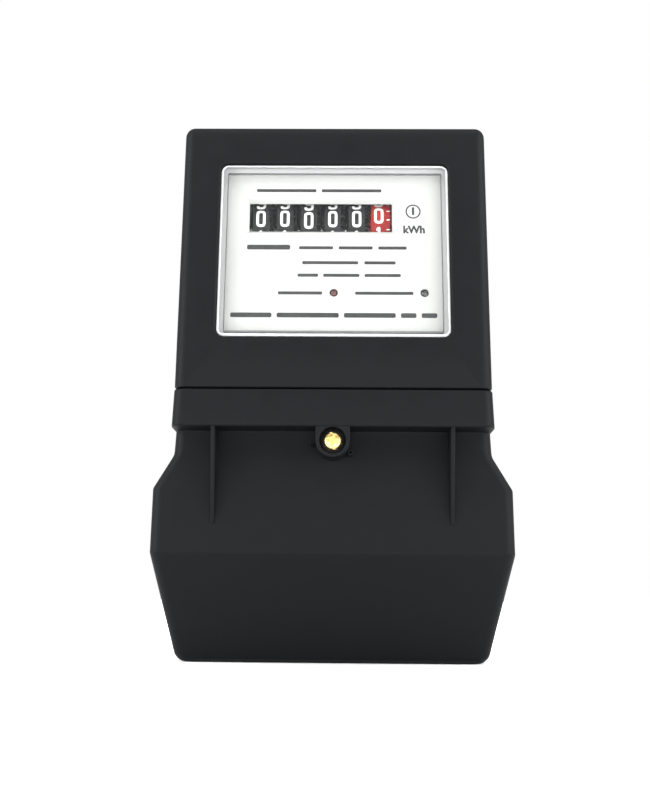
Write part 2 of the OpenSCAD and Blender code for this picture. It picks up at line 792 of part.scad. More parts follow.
// A strip that joins two neighbouring terminals' tails
module strip(left, right) {
    box([term_x[left] - tail_w / 2, term_x[right] + tail_w / 2], [tail_d + tail_t, tail_d + 2 * tail_t],
        [tail_top_z - 8, tail_top_z]);
}

module shunt() {
    color("#a8835a") difference() {
        strip(0, 1);
        // Trimming notch in the resistance strip
        box([term_x[0] + terminal_pitch / 2 - 3, term_x[0] + terminal_pitch / 2 + 3],
            [tail_d, tail_d + 4], [tail_top_z - 2, tail_top_z + 1]);
    }
}

module neutral_link() {
    color("#b87333") strip(2, 3);
}

module board_leads() {
    side = terminal_pitch / 2 - tail_w / 2 - 2;
    color("#b03a2e") for (x = [term_x[0] + terminal_pitch / 2 - side, term_x[0] + terminal_pitch / 2 + side,
                               term_x[2] + terminal_pitch / 2])
        peg(x, tail_top_z - 5, board_front_d, tail_d + tail_t, 0.8);
}

module case_screws() {
    color("silver") for (x = [-case_screw_x, case_screw_x])
        pan_screw(x, case_screw_z, case_pilot_d + 1, rim_d + seam_gap / 2 + lug_t, case_screw);
}

module cover_insert() {
    color("#c9a64a") difference() {
        peg(0, boss_z, pillar_d - insert_len, pillar_d, insert_r);
        peg(0, boss_z, pillar_d - insert_len - 1, pillar_d + 1, screw_d / 2 + loose);
    }
}

// Front-view outline of the terminal cover, moved inwards by t
function cover_front(t) =
    let (n = neck_w / 2, f = flare_w / 2, g = foot_w / 2)
    inset([[-g, cover_foot_z], [g, cover_foot_z], [f - flare_draft, ridge_z], [f, flare_foot_z],
           [n, flare_top_z], [n - neck_draft, cover_top_z], [-n + neck_draft, cover_top_z],
           [-n, flare_top_z], [-f, flare_foot_z], [-f + flare_draft, ridge_z]], t);

// Side-view outline of the terminal cover as [-depth, z], moved inwards by t, reaching back_d past the wall
function cover_side(t, back_d) =
    inset([[back_d, cover_foot_z], [back_d, cover_top_z], [-case_d, cover_top_z], [-case_d, flush_foot_z],
           [-face_d, flush_foot_z], [-ridge_d, ridge_z], [-foot_d, cover_foot_z]], t);

// The solid between a front view and a side view of the terminal cover
module cover_form(t, back_d) {
    r = max(foot_r - t, 0.5);
    intersection() {
        layer(-5, case_d + 5)
            polygon(rounded(cover_front(t), [r, r, 1.5, 3, 6, 1, 1, 6, 3, 1.5]));
        translate([-flare_w, 0, 0]) rotate([90, 0, 90]) linear_extrude(2 * flare_w)
            polygon(rounded(cover_side(t, back_d), [0, 0, 0.6, 0.6, 0.4, 1.2, 1.2]));
    }
}

module terminal_cover() {
    slope = face_lean / (flush_foot_z - ridge_z);
    color("#1f1f21") difference() {
        union() {
            difference() {
                cover_form(0, 0);
                cover_form(cover_wall, 4);
                // Room at the top for the base's tongue, the lugs and the terminal block
                box([-neck_w / 2 + cover_wall + 0.3, neck_w / 2 - cover_wall - 0.3], [-1, block_d + 1],
                    [cover_top_z - cover_wall - 1, cover_top_z + 1]);
                // Cable slot in the foot
                box([-slot_w / 2, slot_w / 2], [-1, foot_d - 4],
                    [cover_foot_z - 1, cover_foot_z + cover_wall + 1]);
            }
            for (x = [-rib_pitch / 2, rib_pitch / 2])
                translate([x - rib_t / 2, 0, 0]) rotate([90, 0, 90]) linear_extrude(rib_t) polygon([
                    [-case_d + 0.6, flush_foot_z + 1], [-face_d + 0.5, flush_foot_z + 1],
                    [-face_d - slope * (flush_foot_z - rib_foot_z) + 0.5, rib_foot_z],
                    [-face_d - slope * (flush_foot_z - rib_foot_z) - 0.3, rib_foot_z]]);
            layer(face_d - cover_wall + 0.5, boss_front_d) {
                translate([0, boss_z]) circle(boss_r);
                translate([-boss_r, boss_z]) square([2 * boss_r, flush_foot_z + 1 - boss_z]);
            }
        }
        peg(0, boss_z, well_floor_d, case_d + 1, well_d / 2);
        peg(0, boss_z, face_d - cover_wall - 1, well_floor_d + 1, screw_d / 2 + 0.25);
        axle(-boss_r - 3, boss_r + 3, boss_front_d - 2.4, boss_z - 3.9, seal_hole_r);
    }
}

module screw_washer() {
    color("#d9b45a") difference() {
        peg(0, boss_z, well_floor_d, head_under_d, head_d / 2 + 0.8);
        peg(0, boss_z, well_floor_d - 1, head_under_d + 1, screw_d / 2 + fit);
    }
}

module cover_screw() {
    r = head_d / 2;
    color("#d9b45a") difference() {
        union() {
            peg(0, boss_z, head_under_d - screw_len, head_under_d + eps, screw_d / 2);
            peg(0, boss_z, head_under_d, head_under_d + head_t - 0.8, r);
            translate([0, -head_under_d - head_t + 0.8, boss_z]) rotate([90, 0, 0])
                rotate_extrude()
                    polygon([[0, -eps], [r, -eps], [r - 0.25, 0.4], [r - 0.9, 0.7], [r - 1.8, 0.8], [0, 0.8]]);
        }
        layer(head_under_d + head_t - 1.5, head_under_d + head_t + 1) translate([0, boss_z]) rotate(-15) {
            square([r * cross_part, cross_w], center = true);
            square([cross_w, r * cross_part], center = true);
        }
        layer(head_under_d + head_t - notch_t, head_under_d + head_t + 1) translate([0, boss_z]) rotate(12)
            for (side = [-1, 1]) translate([0, side * (r + 0.3)]) square([cross_w, 2], center = true);
    }
}

module hanger_plate() {
    color("silver") difference() {
        layer(hanger_d, hanger_d + hanger_t)
            panel(0, hanger_top_z - hanger_h / 2, hanger_w, hanger_h, 1.5);
        peg(0, hanger_hole_z, 0, 5, fixing_d / 2);
        for (z = [stop_z, stop_z - hanger_travel]) peg(0, z, 0, 5, stop_r + 0.2);
        box([-stop_r - 0.2, stop_r + 0.2], [0, 5], [stop_z - hanger_travel, stop_z]);
    }
}

base_case();
cover_gasket();
meter_cover();
window_seal();
window();
nameplate();
plate_screws();
register_frame();
register_screws();
drum_shaft();
pinion_shaft();
for (i = [0:drum_n - 1]) drum(i);
for (i = [0:drum_n - 2]) pinion(i);
idler_gear();
counter_motor();
motor_rotor();
circuit_board();
board_screws();
dropper_capacitor();
smoothing_capacitors();
varistor();
metering_chip();
crystal();
optocoupler();
reverse_lamp();
pulse_lamp();
terminal_block();
block_screws();
for (k = [0:3]) terminal(k);
for (j = [0:7]) clamp_screw(j);
shunt();
neutral_link();
board_leads();
case_screws();
cover_insert();
terminal_cover();
screw_washer();
cover_screw();
hanger_plate();
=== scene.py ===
import math

import bmesh
import bpy
from mathutils import Matrix, Vector


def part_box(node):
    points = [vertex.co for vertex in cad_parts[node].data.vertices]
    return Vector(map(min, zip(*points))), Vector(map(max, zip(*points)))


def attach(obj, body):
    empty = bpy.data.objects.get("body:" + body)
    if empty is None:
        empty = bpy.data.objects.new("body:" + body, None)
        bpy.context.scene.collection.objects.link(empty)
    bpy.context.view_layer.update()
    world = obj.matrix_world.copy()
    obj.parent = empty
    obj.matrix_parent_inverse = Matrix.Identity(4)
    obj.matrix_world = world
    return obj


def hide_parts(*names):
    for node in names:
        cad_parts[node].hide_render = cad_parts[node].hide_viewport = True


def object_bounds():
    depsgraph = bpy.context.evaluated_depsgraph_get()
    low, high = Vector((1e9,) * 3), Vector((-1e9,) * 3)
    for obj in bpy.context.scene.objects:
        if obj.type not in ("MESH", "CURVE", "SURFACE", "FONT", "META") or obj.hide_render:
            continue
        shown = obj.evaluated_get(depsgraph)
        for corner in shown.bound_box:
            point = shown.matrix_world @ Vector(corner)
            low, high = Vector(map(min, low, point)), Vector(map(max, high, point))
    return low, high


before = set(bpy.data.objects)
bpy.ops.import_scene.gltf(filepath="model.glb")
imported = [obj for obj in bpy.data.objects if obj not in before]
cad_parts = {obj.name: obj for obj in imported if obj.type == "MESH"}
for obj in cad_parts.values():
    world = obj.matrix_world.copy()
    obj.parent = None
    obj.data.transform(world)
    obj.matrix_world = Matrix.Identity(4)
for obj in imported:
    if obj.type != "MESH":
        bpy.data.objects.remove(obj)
cad_low, cad_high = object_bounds()

# ---------------------------------------------------------------------------------------------
# Base case. A deep black tray, injection moulded in one piece, that screws to the wall and
# carries everything else. Its back plate runs down behind the terminals as a tongue.
# ---------------------------------------------------------------------------------------------
mm = 0.001


def finish(name, light, dark, roughness, patch=12, grain=0.3, relief=0.01, stretch=(1, 1, 1), **sockets):
    """A material whose colour and roughness drift over patches and whose surface has a fine grain.

    light and dark are the two ends of its colour, roughness its least and most. The sizes are in
    millimetres, stretch lengthens the grain along an axis, and sockets are set on the shader."""
    material = bpy.data.materials.new(name)
    material.use_nodes = True
    tree = material.node_tree
    shader = tree.nodes["Principled BSDF"]
    place = tree.nodes.new("ShaderNodeTexCoord")
    drift = tree.nodes.new("ShaderNodeTexNoise")
    drift.inputs["Scale"].default_value = 1 / (patch * mm)
    drift.inputs["Detail"].default_value = 4
    tree.links.new(place.outputs["Object"], drift.inputs["Vector"])
    tint = tree.nodes.new("ShaderNodeMix")
    tint.data_type = "RGBA"
    tint.inputs["A"].default_value = (*dark, 1)
    tint.inputs["B"].default_value = (*light, 1)
    tree.links.new(drift.outputs["Fac"], tint.inputs["Factor"])
    tree.links.new(tint.outputs["Result"], shader.inputs["Base Color"])
    rough = tree.nodes.new("ShaderNodeMapRange")
    rough.inputs["From Min"].default_value = 0.3
    rough.inputs["From Max"].default_value = 0.7
    rough.inputs["To Min"].default_value = roughness[0]
    rough.inputs["To Max"].default_value = roughness[1]
    tree.links.new(drift.outputs["Fac"], rough.inputs["Value"])
    tree.links.new(rough.outputs["Result"], shader.inputs["Roughness"])
    longer = tree.nodes.new("ShaderNodeMapping")
    longer.inputs["Scale"].default_value = [1 / s for s in stretch]
    tree.links.new(place.outputs["Object"], longer.inputs["Vector"])
    fine = tree.nodes.new("ShaderNodeTexNoise")
    fine.inputs["Scale"].default_value = 1 / (grain * mm)
    fine.inputs["Detail"].default_value = 3
    tree.links.new(longer.outputs["Vector"], fine.inputs["Vector"])
    bump = tree.nodes.new("ShaderNodeBump")
    bump.inputs["Strength"].default_value = 0.6
    bump.inputs["Distance"].default_value = relief * mm
    tree.links.new(fine.outputs["Fac"], bump.inputs["Height"])
    tree.links.new(bump.outputs["Normal"], shader.inputs["Normal"])
    for socket, value in sockets.items():
        shader.inputs[socket.replace("_", " ")].default_value = value
    return material


def dress(node, material, edge=0.0):
    """A CAD node keeps its mesh, takes a material, and has its sharp edges rounded by edge mm."""
    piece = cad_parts[node]
    piece.data.materials.clear()
    piece.data.materials.append(material)
    if edge:
        weld = piece.modifiers.new("weld", "WELD")
        weld.merge_threshold = 0.002 * mm
        plain = piece.modifiers.new("plain", "DECIMATE")
        plain.decimate_type = "DISSOLVE"
        plain.angle_limit = math.radians(0.5)
        rounding = piece.modifiers.new("rounding", "BEVEL")
        rounding.width = edge * mm
        rounding.segments = 2
        rounding.limit_method = "ANGLE"
        rounding.angle_limit = math.radians(50)
        rounding.harden_normals = False
    return piece


black_plastic = finish("black_plastic", (0.0044, 0.0048, 0.0056), (0.0034, 0.0037, 0.0043), (0.5, 0.58),
                       patch=9, grain=0.35, relief=0.018, Specular_IOR_Level=0.075)
dress("base_case", black_plastic, edge=0.25)

# ---------------------------------------------------------------------------------------------
# Cover gasket. A thin grey rubber cord, cut to the outline of the rim and pressed into its
# groove, which keeps dust out of the case.
# ---------------------------------------------------------------------------------------------
gasket_rubber = finish("gasket_rubber", (0.05, 0.05, 0.052), (0.03, 0.03, 0.031), (0.7, 0.85),
                       patch=5, grain=0.2, relief=0.02)
dress("cover_gasket", gasket_rubber)

# ---------------------------------------------------------------------------------------------
# Meter cover. The front half of the case, moulded in the same black plastic with generous
# radii on its front edges. Two lugs under its lower edge take the screws that hold it on.
# ---------------------------------------------------------------------------------------------
cover_low, cover_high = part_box("meter_cover")
seam_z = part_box("cover_gasket")[0].z - 0.8 * mm
case_half = cover_high.x
case_top = cover_high.z
case_front = -cover_low.y
case_back = -cover_high.y
window_low, window_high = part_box("window")
flange_over = 2.6 * mm
opening_half = window_high.x - flange_over
opening_z = (window_low.z + flange_over, window_high.z - flange_over)
case_wall = 2.5 * mm
front_edge = 4.2 * mm
seam_edge = 0.5 * mm
rim_edge = 0.3 * mm
opening_bevel = 1.1 * mm
opening_r = 3 * mm
lug_x = (46.0 * mm, 56.5 * mm)
lug_t = 4 * mm
lug_overlap = 1 * mm
lug_corner = 1 * mm
lug_bore_r = 2.1 * mm
case_screw_head_r = 3.2 * mm


def outline(half, z, corner, steps=8):
    """A closed front-view outline: a rectangle with its lower and upper corners rounded."""
    points = []
    for side, level, start in ((1, 0, 270), (1, 1, 0), (-1, 1, 90), (-1, 0, 180)):
        r = max(corner[level], 1e-6)
        middle = (side * (half - r), z[level] + (r if level == 0 else -r))
        for k in range(steps + 1):
            a = math.radians(start + 90 * k / steps)
            points.append((middle[0] + r * math.cos(a), middle[1] + r * math.sin(a)))
    return points


def ring(points, depth):
    """A front-view outline set at a depth from the wall."""
    return [Vector((x, -depth, z)) for x, z in points]


def loft(bm, rings, closed=True, finish_index=0):
    """Quads between each ring and the next; closed joins the ends of each ring."""
    rows = [[bm.verts.new(p) for p in r] for r in rings]
    for a, b in zip(rows, rows[1:]):
        n = len(a)
        for j in range(n if closed else n - 1):
            k = (j + 1) % n
            face = bm.faces.new((a[j], a[k], b[k], b[j]))
            face.material_index = finish_index
    return rows


def cap(bm, row, finish_index=0):
    """A flat face over a ring of points."""
    face = bm.faces.new(row)
    face.material_index = finish_index


def piece_from(bm, name, body, materials, sharp=32, nodes=()):
    """The mesh as a piece in the scene, smooth but for its sharp edges, riding on a body."""
    bmesh.ops.remove_doubles(bm, verts=bm.verts, dist=1e-7)
    bmesh.ops.recalc_face_normals(bm, faces=bm.faces)
    mesh = bpy.data.meshes.new(name)
    bm.to_mesh(mesh)
    bm.free()
    for face in mesh.polygons:
        face.use_smooth = True
    mesh.set_sharp_from_angle(angle=math.radians(sharp))
    for material in materials:
        mesh.materials.append(material)
    piece = bpy.data.objects.new(name, mesh)
    bpy.context.scene.collection.objects.link(piece)
    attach(piece, body)
    if nodes:
        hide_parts(*nodes)
    return piece


def case_ring(inset, low_inset, depth, corner=(1.0, 4.0)):
    """The case's outline moved inwards, set at a depth."""
    r = (max(corner[0] * mm - low_inset, 0.3 * mm), max(corner[1] * mm - inset, 0.5 * mm))
    return ring(outline(case_half - inset, (seam_z + low_inset, case_top - inset), r), depth)


def opening_ring(grow, depth):
    """The window opening's outline, grown by a bevel, set at a depth."""
    z = (opening_z[0] - grow, opening_z[1] + grow)
    return ring(outline(opening_half + grow, z, (opening_r + grow, opening_r + grow)), depth)


bm = bmesh.new()
rings = [case_ring(case_wall, case_wall, case_back), case_ring(rim_edge, rim_edge, case_back),
         case_ring(0, 0, case_back + rim_edge)]
for k in range(11):
    a = math.radians(9 * k)
    rings.append(case_ring(front_edge * (1 - math.cos(a)), seam_edge * (1 - math.cos(a)),
                           case_front - front_edge + front_edge * math.sin(a)))
for k in range(5):
    a = math.radians(22.5 * k)
    rings.append(opening_ring(opening_bevel * (1 - math.sin(a)),
                              case_front - opening_bevel * (1 - math.cos(a))))
inner_front = case_front - case_wall
rings += [opening_ring(0, inner_front), case_ring(case_wall, case_wall, inner_front),
          case_ring(case_wall, case_wall, case_back)]
loft(bm, rings)

lug_z = (cover_low.z, seam_z + lug_overlap)
lug_depth = (case_back, case_back + lug_t)
screw_low, screw_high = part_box("case_screws")
for side in (-1, 1):
    centre = (side * sum(lug_x) / 2, sum(lug_z) / 2)
    hole = (side * (screw_high.x - case_screw_head_r), (screw_low.z + screw_high.z) / 2)
    body = [(centre[0] + x, centre[1] + z) for x, z in
            outline((lug_x[1] - lug_x[0]) / 2, (-(lug_z[1] - lug_z[0]) / 2, (lug_z[1] - lug_z[0]) / 2),
                    (lug_corner, lug_corner))]
    bore = []
    for x, z in body:
        a = math.atan2(z - hole[1], x - hole[0])
        bore.append((hole[0] + lug_bore_r * math.cos(a), hole[1] + lug_bore_r * math.sin(a)))
    loft(bm, [ring(body, lug_depth[0]), ring(body, lug_depth[1]), ring(bore, lug_depth[1]),
              ring(bore, lug_depth[0]), ring(body, lug_depth[0])])
meter_cover = piece_from(bm, "meter_cover_moulding", "case", [black_plastic], nodes=("meter_cover",))

# ---------------------------------------------------------------------------------------------
# Window and its seal. A shallow tray of clear polycarbonate, polished in front, that drops
# into the opening from behind. Its thick rim carries a pale grey haze that is painted light, standing for
# the white plate seen through it; its inner wall is a darker grey of painted shade; and a rubber frame seals
# it.
# ---------------------------------------------------------------------------------------------
dress("window_seal", gasket_rubber)
pane_back = -window_high.y
pane_front = -window_low.y
flange_front = pane_back + 1.6 * mm
pane_gap = 0.1 * mm
rim_half = opening_half - pane_gap
rim_wall = 2.3 * mm
pane_t = 2.0 * mm
pane_fillet = 0.5 * mm
rim_round = 0.9 * mm


def window_ring(grow, depth, corner=2.9):
    """The window's outline, grown or shrunk, set at a depth."""
    z = (opening_z[0] + pane_gap - grow, opening_z[1] - pane_gap + grow)
    r = max(corner * mm + grow, 0.6 * mm)
    return ring(outline(rim_half + grow, z, (r, r)), depth)


def clear(name, tint, haze_and_paint_share, haze_and_paint_tones, roughness, gloss):
    """Clear plastic as a thin shell: it passes light, mirrors a little, and haze_and_paint_share is its share
    of a diffuse grey, which is real haze on the pane and painted light and shade on the rim and its inner
    wall, whose darkest and lightest greys are haze_and_paint_tones."""
    material = bpy.data.materials.new(name)
    material.use_nodes = True
    tree = material.node_tree
    tree.nodes.remove(tree.nodes["Principled BSDF"])
    through = tree.nodes.new("ShaderNodeBsdfTransparent")
    through.inputs["Color"].default_value = (*tint, 1)
    dull = tree.nodes.new("ShaderNodeBsdfPrincipled")
    dull.inputs["Roughness"].default_value = roughness
    dull.inputs["Specular IOR Level"].default_value = gloss
    place = tree.nodes.new("ShaderNodeTexCoord")
    haze_and_paint_drift = tree.nodes.new("ShaderNodeTexNoise")
    haze_and_paint_drift.inputs["Scale"].default_value = 1 / (30 * mm)
    haze_and_paint_drift.inputs["Detail"].default_value = 3
    tree.links.new(place.outputs["Object"], haze_and_paint_drift.inputs["Vector"])
    tone = tree.nodes.new("ShaderNodeMix")
    tone.data_type = "RGBA"
    for socket, grey in zip("AB", haze_and_paint_tones):
        tone.inputs[socket].default_value = (grey, grey, grey * 1.01, 1)
    tree.links.new(haze_and_paint_drift.outputs["Fac"], tone.inputs["Factor"])
    tree.links.new(tone.outputs["Result"], dull.inputs["Base Color"])
    facing = tree.nodes.new("ShaderNodeLayerWeight")
    edge = tree.nodes.new("ShaderNodeMath")
    edge.operation = "POWER"
    edge.inputs[1].default_value = 5
    tree.links.new(facing.outputs["Facing"], edge.inputs[0])
    share = tree.nodes.new("ShaderNodeMath")
    share.operation = "MAXIMUM"
    share.inputs[1].default_value = haze_and_paint_share
    tree.links.new(edge.outputs["Value"], share.inputs[0])
    mix = tree.nodes.new("ShaderNodeMixShader")
    tree.links.new(share.outputs["Value"], mix.inputs["Fac"])
    tree.links.new(through.outputs["BSDF"], mix.inputs[1])
    tree.links.new(dull.outputs["BSDF"], mix.inputs[2])
    tree.links.new(mix.outputs["Shader"], tree.nodes["Material Output"].inputs["Surface"])
    return material


clear_pane = clear("clear_window", (0.98, 0.985, 0.985), 0.035, (0.14, 0.18), 0.06, 0.4)
# The rim's pale grey haze is painted light: it stands for the white plate seen through the rim's thickness.
clear_rim_painted_light = clear("clear_window_rim_painted_light", (0.90, 0.91, 0.915), 0.6, (0.66, 0.72), 0.4, 0.08)
# The inner wall's darker grey is painted shade: the dark line along the rim's inner edge, strongest at the
# top.
clear_wall_painted_shade = clear("clear_window_wall_painted_shade", (0.45, 0.46, 0.47), 0.5, (0.20, 0.25), 0.4, 0.15)
bm = bmesh.new()
front = []
for k in range(6):
    a = math.radians(18 * k)
    front.append(window_ring(-rim_round * (1 - math.sin(a)), pane_front - rim_round * (1 - math.cos(a))))
rows = loft(bm, front, finish_index=1)
cap(bm, rows[0], 0)
loft(bm, [front[-1], window_ring(0, flange_front), window_ring(flange_over - pane_gap, flange_front),
          window_ring(flange_over - pane_gap, pane_back), window_ring(-rim_wall, pane_back)], finish_index=1)
# The rim's inner wall, in the darker grey of painted shade
rows = loft(bm, [window_ring(-rim_wall, pane_back), window_ring(-rim_wall, pane_front - pane_t - pane_fillet),
                 window_ring(-rim_wall - pane_fillet, pane_front - pane_t)], finish_index=2)
cap(bm, rows[-1], 0)
window = piece_from(bm, "window_pane", "case", [clear_pane, clear_rim_painted_light, clear_wall_painted_shade], nodes=("window",))

# ---------------------------------------------------------------------------------------------
# Nameplate. A satin white card of moulded plastic, held by four screws. Its aperture has a
# raised bevelled frame, and its printing is black ink on the face.
# ---------------------------------------------------------------------------------------------
white_plate = finish("white_plate", (0.42, 0.42, 0.405), (0.385, 0.385, 0.372), (0.36, 0.46),
                     patch=20, grain=0.25, relief=0.006)
dress("nameplate", white_plate)
printing_ink = finish("printing_ink", (0.018, 0.018, 0.019), (0.010, 0.010, 0.011), (0.45, 0.6),
                      patch=3, grain=0.1, relief=0.002)
plate_front = -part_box("nameplate")[0].y
ink_t = 0.04 * mm
ink_gap = 0.004 * mm


def slab(bm, points, depth):
    """A thin flat patch of ink with the outline given, standing ink_t off a face at that depth."""
    rows = loft(bm, [ring(points, depth + ink_gap), ring(points, depth + ink_t)])
    cap(bm, rows[0][::-1])
    cap(bm, rows[1])


def bar(bm, x, z, height):
    """A printed bar with round ends, which stands for a word."""
    r = height / 2
    across = (x[0] + x[1]) / 2
    points = outline((x[1] - x[0]) / 2, (-r, r), (r * 0.6, r * 0.6), steps=3)
    slab(bm, [(across + px, z + pz) for px, pz in points], plate_front)


# Each printed line: its height, its two ends, the size of its bars, and its words' lengths
printed_lines = [
    (78.7, (-30.9, 18.7), 1.25, (11, 11)),
    (54.7, (-34.2, -17.2), 2.0, (6,)),
    (54.5, (-13.7, 28.5), 1.25, (6, 6, 5)),
    (48.3, (-12.4, 24.1), 1.25, (9, 5)),
    (43.1, (-14.2, 26.1), 1.25, (4, 7, 7)),
    (35.8, (-21.7, -4.5), 1.25, (7,)),
    (35.8, (8.3, 30.9), 1.25, (12,)),
    (26.8, (-40.0, 40.0), 1.9, (8, 12, 10, 3, 3)),
]
bm = bmesh.new()
for z, ends, height, words in printed_lines:
    unit = (ends[1] - ends[0]) / (sum(words) + len(words) - 1)
    x = ends[0]
    for letters in words:
        bar(bm, (x * mm, (x + letters * unit) * mm), z * mm, height * mm)
        x += (letters + 1) * unit
mark = (31.2, 69.9)
mark_r = (3.0, 2.45)
turn = [math.radians(10 * k) for k in range(36)]
outer, inner = ([((mark[0] + r * math.cos(a)) * mm, (mark[1] + r * math.sin(a)) * mm) for a in turn]
                for r in mark_r)
loft(bm, [ring(outer, plate_front + ink_gap), ring(outer, plate_front + ink_t),
          ring(inner, plate_front + ink_t), ring(inner, plate_front + ink_gap),
          ring(outer, plate_front + ink_gap)])
printing = piece_from(bm, "plate_printing", "case", [printing_ink])


def lettering(text, name, height, weight, place, material):
    """Plain generic characters as thin ink, thickened by weight and centred on a point."""
    curve = bpy.data.curves.new(name, "FONT")
    curve.body = text
    curve.size = height * mm
    curve.align_x = "CENTER"
    curve.align_y = "CENTER"
    curve.extrude = ink_t / 2
    curve.offset = weight * mm
    flat = bpy.data.objects.new(name, curve)
    bpy.context.scene.collection.objects.link(flat)
    bpy.context.view_layer.update()
    mesh = bpy.data.meshes.new_from_object(flat.evaluated_get(bpy.context.evaluated_depsgraph_get()))
    bpy.data.objects.remove(flat)
    mesh.transform(Matrix.Translation((place[0] * mm, -plate_front - ink_t / 2 - ink_gap, place[1] * mm))
                   @ Matrix.Rotation(math.radians(90), 4, "X"))
    mesh.materials.clear()
    mesh.materials.append(material)
    piece = bpy.data.objects.new(name, mesh)
    bpy.context.scene.collection.objects.link(piece)
    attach(piece, "case")
    return piece


lettering("kWh", "unit_letters", 4.3, 0.17, (31.5, 62.1), printing_ink)
lettering("1", "phase_figure", 4.0, 0.26, mark, printing_ink)

# ---------------------------------------------------------------------------------------------
# Plate, register, board, block and case screws. Zinc-plated pan-head steel screws, cold
# headed with a cross recess and driven into the plastic posts.
# ---------------------------------------------------------------------------------------------
zinc_steel = finish("zinc_steel", (0.62, 0.62, 0.60), (0.48, 0.48, 0.46), (0.24, 0.38),
                    patch=1.2, grain=0.12, relief=0.006, Metallic=1.0)
for node in ("plate_screws", "register_screws", "board_screws", "block_screws", "case_screws"):
    dress(node, zinc_steel, edge=0.12)

# ---------------------------------------------------------------------------------------------
# Register frame and shafts. An ivory moulded bracket behind the nameplate, with two cheeks
# drilled for a ground steel drum shaft and a thinner pinion shaft.
# ---------------------------------------------------------------------------------------------
frame_plastic = finish("frame_plastic", (0.76, 0.75, 0.70), (0.68, 0.67, 0.62), (0.4, 0.52),
                       patch=6, grain=0.2, relief=0.008)
ground_steel = finish("ground_steel", (0.60, 0.60, 0.60), (0.50, 0.50, 0.50), (0.18, 0.3),
                      patch=2, grain=0.08, relief=0.004, stretch=(1, 6, 6), Metallic=1.0)
dress("register_frame", frame_plastic, edge=0.15)
dress("drum_shaft", ground_steel)
dress("pinion_shaft", ground_steel)

# ---------------------------------------------------------------------------------------------
# Digit drums. Five black drums and a red one for the tenths, moulded with their gears, turning
# on one shaft. White figures are hot-stamped round each rim, and the red one has tick marks.
# ---------------------------------------------------------------------------------------------
drum_black = finish("drum_black", (0.013, 0.014, 0.015), (0.008, 0.0085, 0.009), (0.45, 0.55),
                    patch=3, grain=0.15, relief=0.006, Specular_IOR_Level=0.2)
drum_red = finish("drum_red", (0.24, 0.012, 0.011), (0.19, 0.009, 0.008), (0.45, 0.55),
                  patch=3, grain=0.15, relief=0.006, Specular_IOR_Level=0.2)
figure_white = finish("figure_white", (0.66, 0.66, 0.64), (0.58, 0.58, 0.56), (0.4, 0.55),
                      patch=1.5, grain=0.08, relief=0.003)
drums = ["drum_ten_thousands", "drum_thousands", "drum_hundreds", "drum_tens", "drum_units", "drum_tenths"]
drum_r = 12.5 * mm
shaft_low, shaft_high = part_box("drum_shaft")
drum_axis = (shaft_low + shaft_high) / 2
gear_over = 1.5 * mm
# How far each drum's figures stand above the middle of the aperture, in millimetres
figure_lift = (0, 0.1, -0.65, 0, 0.05, 1.5)
half_w = 1.32
half_h = 2.95
stroke = 1.04
corner_r = 1.1
band_w = 6.4
tenths_w = 7.5
tenths_shift = -0.75
tick_x = (2.35, 3.6)
tick_w = 0.42


def round_path(points, r, closed=False, steps=5):
    """A path with its corners rounded to radius r."""
    n = len(points)
    path = []
    for i, b in enumerate(points):
        if not closed and i in (0, n - 1):
            path.append(b)
            continue
        b = Vector(b)
        u = (Vector(points[i - 1]) - b)
        w = (Vector(points[(i + 1) % n]) - b)
        reach = min(r, u.length / 2, w.length / 2)
        start = b + u.normalized() * reach
        end = b + w.normalized() * reach
        for k in range(steps + 1):
            t = k / steps
            path.append(tuple((1 - t) ** 2 * start + 2 * t * (1 - t) * b + t * t * end))
    return path


# The figures as pen strokes on a cell that runs from -1 to 1 across and up
figures = {
    0: [([(-1, -1), (1, -1), (1, 1), (-1, 1)], True)],
    1: [([(-0.55, 0.55), (0.1, 1), (0.1, -1)], False)],
    2: [([(-1, 0.55), (-1, 1), (1, 1), (1, 0.15), (-1, -1), (1, -1)], False)],
    3: [([(-1, 1), (1, 1), (1, 0.05), (-0.3, 0.05)], False),
        ([(-0.3, 0.05), (1, 0.05), (1, -1), (-1, -1)], False)],
    4: [([(0.55, -1), (0.55, 1), (-1, -0.4), (1, -0.4)], False)],
    5: [([(1, 1), (-1, 1), (-1, 0.15), (1, 0.15), (1, -1), (-1, -1)], False)],
    6: [([(1, 0.6), (1, 1), (-1, 1), (-1, -1), (1, -1), (1, 0.05), (-1, 0.05)], False)],
    7: [([(-1, 1), (1, 1), (-0.25, -1)], False)],
    8: [([(-1, -1), (1, -1), (1, 0.05), (-1, 0.05)], True),
        ([(-0.9, 0.05), (0.9, 0.05), (0.9, 1), (-0.9, 1)], True)],
    9: [([(-1, -0.6), (-1, -1), (1, -1), (1, 1), (-1, 1), (-1, 0), (1, 0)], False)],
}


def on_drum(x, up, centre, lift=0.05):
    """A point of the drum's rim: x along the axis, up along the rim from the front, in mm."""
    a = up * mm / drum_r
    r = drum_r + lift * mm
    return Vector((centre + x * mm, drum_axis.y - r * math.cos(a), drum_axis.z + r * math.sin(a)))


